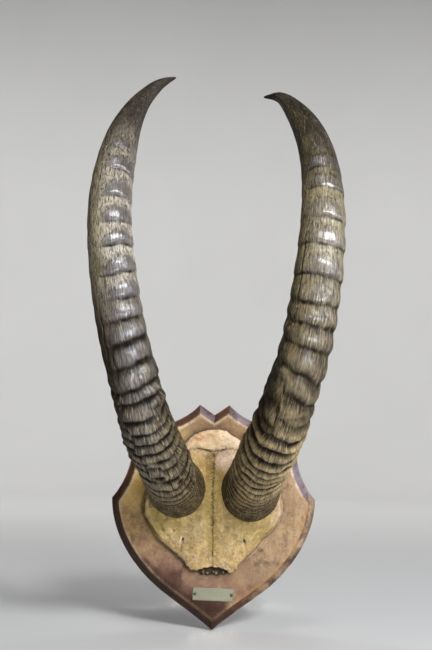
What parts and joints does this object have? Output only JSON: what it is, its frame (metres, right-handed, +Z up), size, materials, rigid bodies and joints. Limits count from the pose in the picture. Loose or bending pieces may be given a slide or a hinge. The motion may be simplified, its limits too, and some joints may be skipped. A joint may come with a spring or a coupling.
{
  "type": "antelope horn trophy",
  "caption": "Pair of long ringed antelope horns that arch forward and back up to their tips, on a bone skull cap and a bevelled wooden wall shield with a small brass plate.",
  "frame": {"origin": "centre line of the shield's flat back, half way up the shield", "axes": "+Z up the wall, towards the horn tips; -Y out of the wall towards the viewer; +X the viewer's right"},
  "size_m": [0.2679, 0.2804, 0.7341],
  "materials": {
    "wood": "worn satin varnish over dark stain, dusty and rubbed pale along its edges",
    "bone": "dry yellowed bone with olive and brown stains, fine pits and open sutures",
    "horn": "fibrous ringed horn sheath, satin, dark at the base and the tip",
    "plate_brass": "tarnished pale brass, blank",
    "pin_brass": "dark tarnished brass"
  },
  "bodies": {
    "root": {"shield": "wood", "skull_cap": "bone", "horn_left": "horn", "horn_right": "horn", "name_plate": "plate_brass", "plate_pin_left": "pin_brass", "plate_pin_right": "pin_brass"}
  },
  "joints": []
}
